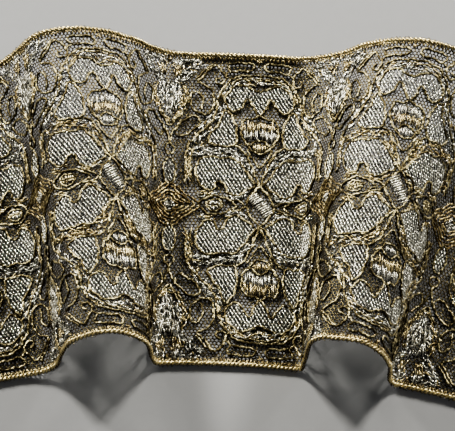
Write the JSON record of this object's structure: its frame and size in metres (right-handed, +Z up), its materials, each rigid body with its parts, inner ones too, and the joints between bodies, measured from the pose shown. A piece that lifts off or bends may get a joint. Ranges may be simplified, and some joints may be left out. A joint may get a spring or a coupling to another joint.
{
  "type": "lace trim",
  "caption": "Cut length of wide gold and silver metal thread lace with bound edges, lying on a surface with two raised folds.",
  "frame": {"origin": "on the surface the lace lies on, under the middle of the flat valley between the two folds", "axes": "+X along the band's length, +Y across it to the outer edge of its sweep, +Z up"},
  "size_m": [0.2256, 0.1402, 0.0337],
  "materials": {
    "lace_threads": "open net of thin dull antique gold metal thread",
    "silver_filling": "bright silver thread darned to and fro, with pale gold and brown shades in the satin blocks",
    "gold_outline": "pale gold wound cord with cream highlights",
    "gold_binding": "gold thread bound over the edge in short bright stitches"
  },
  "bodies": {
    "root": {"lace_band": "lace_threads", "lower_bound_edge": "gold_binding", "upper_bound_edge": "gold_binding"}
  },
  "joints": []
}
